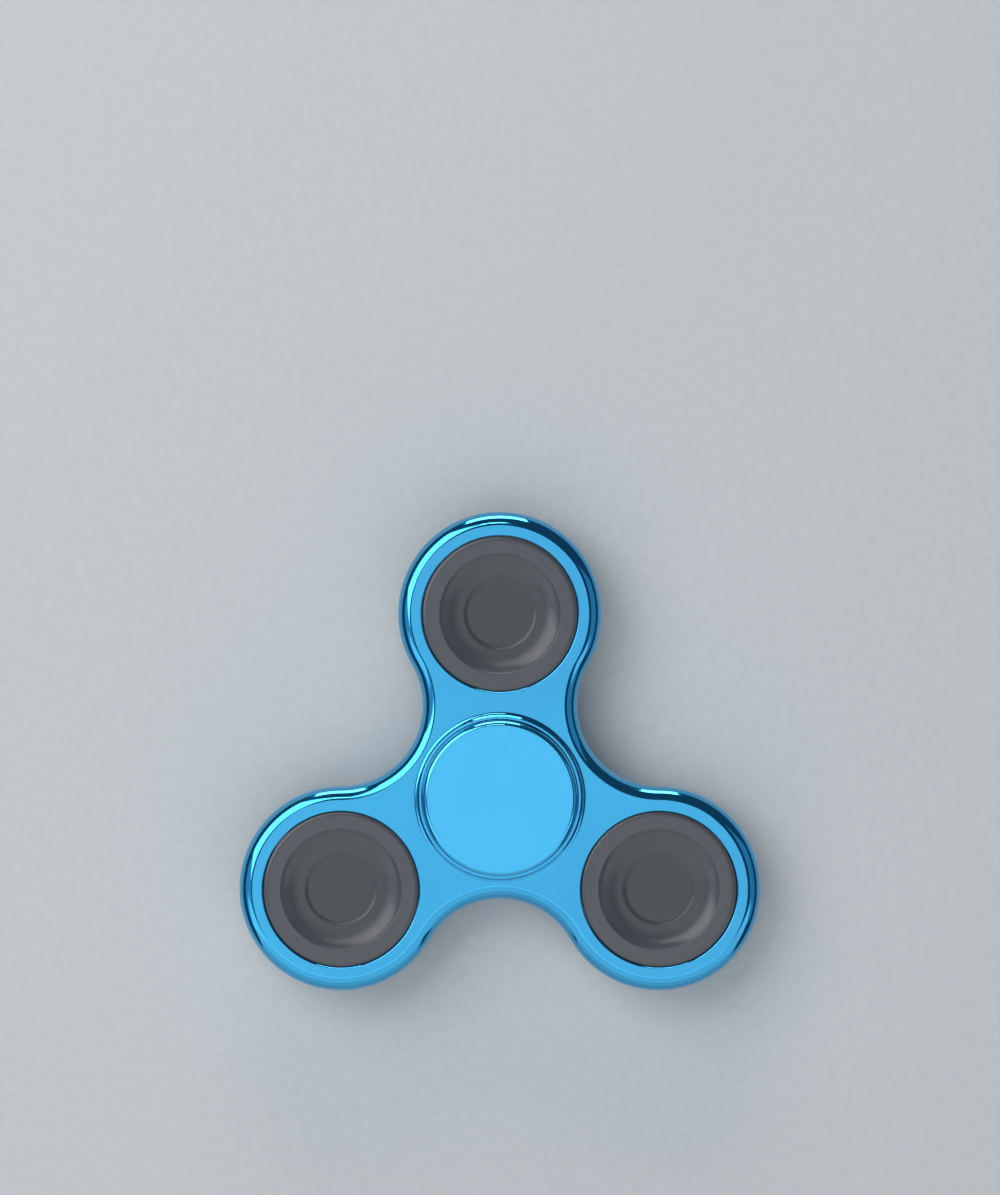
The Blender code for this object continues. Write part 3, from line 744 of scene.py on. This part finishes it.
def blackened_steel_look():
    """Blackened steel under a thin clear lacquer. Fine marks of turning run round the piece, and the
    gloss has clouds. The grey is set by the distance from the middle: the flat ring is lighter than
    the disc, the dish is painted lighter towards its edge, a painted light over the shade in the
    hollow, and the rim is painted darker at its edge, a painted shade where it turns down."""
    marks_per_metre, clouds_per_metre = 9000, 160
    mark_depth = 0.0006 * MM
    look, tree, shader = new_look("blackened_steel", {"Metallic": 0.1, "Specular IOR Level": 0.6})
    radius = from_middle(tree)
    shade = tree.nodes.new("ShaderNodeValToRGB")
    disc, dish, step = DISC / WEIGHT, DISH / WEIGHT, 0.01
    # Painted light and shade by the distance from the middle: the dish lighter than the disc, the
    # rim's edge darker.
    greys = (
        (0.0, 0.064), (disc - step, 0.062), (disc + step, 0.066),
        (dish - step, 0.084), (dish + step, 0.092), (0.95, 0.092), (1.0, 0.08),
    )
    while len(shade.color_ramp.elements) < len(greys):
        shade.color_ramp.elements.new(1.0)
    for stop, (at, grey) in zip(shade.color_ramp.elements, greys):
        stop.position = at
        stop.color = (0.98 * grey, 0.99 * grey, 1.10 * grey, 1)
    tree.links.new(ranged(tree, radius, 0, WEIGHT, 0, 1), shade.inputs["Fac"])
    marks = noise(tree, node(tree, "CombineXYZ", {"X": radius}), marks_per_metre, 2)
    inputs = {"Factor": 0.12, "A": shade.outputs["Color"], "B": marks}
    colour = node(tree, "Mix", inputs, "Result", data_type="RGBA", blend_type="MULTIPLY")
    gloss = ranged(tree, noise(tree, place_on(tree), clouds_per_metre, 5), 0.3, 0.7, 0.23, 0.30)
    return finished(look, shader, colour, gloss, raised(tree, marks, mark_depth))


blackened_steel = blackened_steel_look()
for name, heading in LOBES.items():
    middle = lobe_middle(heading)
    weight = solid(
        f"weight_{name}_turned",
        [turned_patch(weight_profile(), columns=160, centre=(*middle, MIDDLE))],
        blackened_steel,
        middle,
    )
    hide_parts(f"weight_{name}")
    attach(weight, "rotor")

# ---------------------------------------------------------------------------------------------
# Finger caps. Two discs of moulded plastic, plated like the body. The rear cap's pin snaps into
# the front cap's socket through the bearing's bore, and the pair clamps the inner race.
# ---------------------------------------------------------------------------------------------

CAP_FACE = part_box("front_cap")[1].z - MIDDLE
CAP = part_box("front_cap")[1].x
CAP_SHOULDER = 0.85 * MM
CAP_SIDE_START = 0.1 * MM
CAP_UNDERSIDE = 4.6 * MM
BOSS = 5.6 * MM
BOSS_END = RACE_HALF_WIDTH + 0.06 * MM
SOCKET = 3.9 * MM
SOCKET_BORE = 2.3 * MM
SOCKET_END = -3.2 * MM
SOCKET_ROOF = 4.4 * MM
PIN = 2.2 * MM
PIN_TIP = 4.2 * MM
PIN_LEAD_IN = 0.4 * MM
SMALL_EDGE = 0.12 * MM


def cap_face_profile():
    """From the middle of the flat face out, a quarter circle round the shoulder, and a small edge
    back under the disc to its boss."""
    shoulder_middle = (CAP - CAP_SHOULDER, CAP_FACE - CAP_SHOULDER)
    shoulder = arc(shoulder_middle, CAP_SHOULDER, 90, 0, count=18)
    under = rounded(
        [
            (CAP, CAP_FACE - CAP_SHOULDER - CAP_SIDE_START),
            (CAP, CAP_UNDERSIDE),
            (BOSS, CAP_UNDERSIDE),
            (BOSS, BOSS_END),
            (SOCKET, BOSS_END),
        ],
        [0, SMALL_EDGE, SMALL_EDGE, SMALL_EDGE, 0],
        ring=False,
    )
    return np.vstack(([(0, CAP_FACE)], shoulder, under[:-1]))


cap_plating = plating_look(
    "lacquered_cap_plating",
    colour=(0.03, 0.52, 0.86),
    deep_tone_and_shade=(0.018, 0.475, 0.82),
    # The ring of painted shade lies where the cap's flat face turns down into its rounded shoulder.
    painted_shade_ring=(10.1 * MM, 0.5 * MM),
    pin_mark=((2.8 * MM, 8.1 * MM, MIDDLE + CAP_FACE), 2.4 * MM),
)
socket_profile = rounded(
    [
        (BOSS, BOSS_END),
        (SOCKET, BOSS_END),
        (SOCKET, SOCKET_END),
        (SOCKET_BORE, SOCKET_END),
        (SOCKET_BORE, SOCKET_ROOF),
        (0, SOCKET_ROOF),
    ],
    [0, SMALL_EDGE, 2 * SMALL_EDGE, 2 * SMALL_EDGE, SMALL_EDGE, 0],
    ring=False,
)
front_profile = np.vstack((cap_face_profile(), socket_profile[1:]))
pin_profile = rounded(
    [
        (0, PIN_TIP),
        (PIN - PIN_LEAD_IN, PIN_TIP),
        (PIN, PIN_TIP - PIN_LEAD_IN),
        (PIN, -BOSS_END),
        (BOSS, -BOSS_END),
    ],
    [0, SMALL_EDGE, SMALL_EDGE, SMALL_EDGE, 0],
    ring=False,
)
rear_profile = np.vstack((pin_profile[:-1], cap_face_profile()[::-1] * (1, -1)))
for name, profile in (("front", front_profile), ("rear", rear_profile)):
    cap = solid(f"cap_{name}", [turned_patch(profile, columns=192)], cap_plating)
    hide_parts(f"{name}_cap")
    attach(cap, "finger_caps")

# ---------------------------------------------------------------------------------------------
# Stage. A sheet of pale paper under the object and eight soft lights: one over it, two behind it,
# two broad ones in front, a strong one at the upper left, and a weak cool one on either side.
# ---------------------------------------------------------------------------------------------

PAPER = 1.5
PAPER_GAP = 0.03 * MM
VIEW_CENTRE = (0.0, 28.3 * MM)
VIEW_HEIGHT = 169.1 * MM
VIEW_DISTANCE = 0.6
VIEWED_PLANE = 10 * MM
COOL = (0.5, 0.8, 1.0)


def paper_look():
    """Matt pale paper: a fine fibre in the bump and in its tone."""
    fibres_per_metre = 700
    fibre_depth = 0.02 * MM
    look, tree, shader = new_look("pale_paper", {"Roughness": 0.85, "Specular IOR Level": 0.2})
    fibre = noise(tree, place_on(tree), fibres_per_metre, 5)
    tree.links.new(
        blended(tree, fibre, (0.60, 0.60, 0.60), (0.68, 0.68, 0.67)), shader.inputs["Base Color"]
    )
    tree.links.new(raised(tree, fibre, fibre_depth), shader.inputs["Normal"])
    return look


def soft_light(name, heading, off_vertical, distance, size, radiance, colour=(1, 1, 1)):
    """A rectangular light that faces the object from a heading and an angle off the vertical. Its
    power is its radiance times its area times pi."""
    lamp = bpy.data.lights.new(name, "AREA")
    lamp.shape = "RECTANGLE"
    lamp.size, lamp.size_y = size
    lamp.color = colour
    lamp.energy = radiance * math.pi * size[0] * size[1]
    light = bpy.data.objects.new(name, lamp)
    around, down = math.radians(heading), math.radians(off_vertical)
    away = Vector((
        math.sin(down) * math.cos(around), math.sin(down) * math.sin(around), math.cos(down)
    ))
    light.location = Vector((0, 0, MIDDLE)) + distance * away
    light.rotation_euler = away.to_track_quat("Z", "Y").to_euler()
    bpy.context.scene.collection.objects.link(light)
    return light


paper = bpy.data.meshes.new("paper")
paper.from_pydata(
    [(x * PAPER / 2, y * PAPER / 2, -PAPER_GAP) for x, y in ((-1, -1), (1, -1), (1, 1), (-1, 1))],
    [],
    [(0, 1, 2, 3)],
)
paper.materials.append(paper_look())
floor = bpy.data.objects.new("paper", paper)
bpy.context.scene.collection.objects.link(floor)

soft_light("overhead", 270, 1.6, 0.76, (0.36, 0.34), 0.95)
soft_light("behind", 92, 78, 0.8, (0.5, 0.3), 5.0)
soft_light("high_behind", 94, 30, 0.9, (0.12, 0.07), 7.0)
soft_light("upper_left", 142, 41, 0.7, (0.50, 0.52), 2.6)
soft_light("front_high", 268, 33, 0.75, (1.7, 0.58), 0.85)
soft_light("front_low", 268, 71.5, 0.85, (2.0, 0.53), 0.6)
soft_light("left", 188, 42, 0.8, (0.5, 0.6), 0.5, COOL)
soft_light("right", 0, 50, 0.9, (0.7, 0.6), 0.35, COOL)

world = bpy.data.worlds.new("studio")
world.use_nodes = True
backdrop = world.node_tree.nodes["Background"]
backdrop.inputs["Color"].default_value = (0.45, 0.75, 1.0, 1)
backdrop.inputs["Strength"].default_value = 0.12
bpy.context.scene.world = world
bpy.context.scene.view_settings.view_transform = "Standard"

lens = bpy.data.cameras.new("camera")
lens.sensor_width = 36
lens.lens = lens.sensor_width * VIEW_DISTANCE / VIEW_HEIGHT
lens.clip_start = 0.01
camera = bpy.data.objects.new("camera", lens)
camera.location = (*VIEW_CENTRE, VIEWED_PLANE + VIEW_DISTANCE)
bpy.context.scene.collection.objects.link(camera)
bpy.context.scene.camera = camera
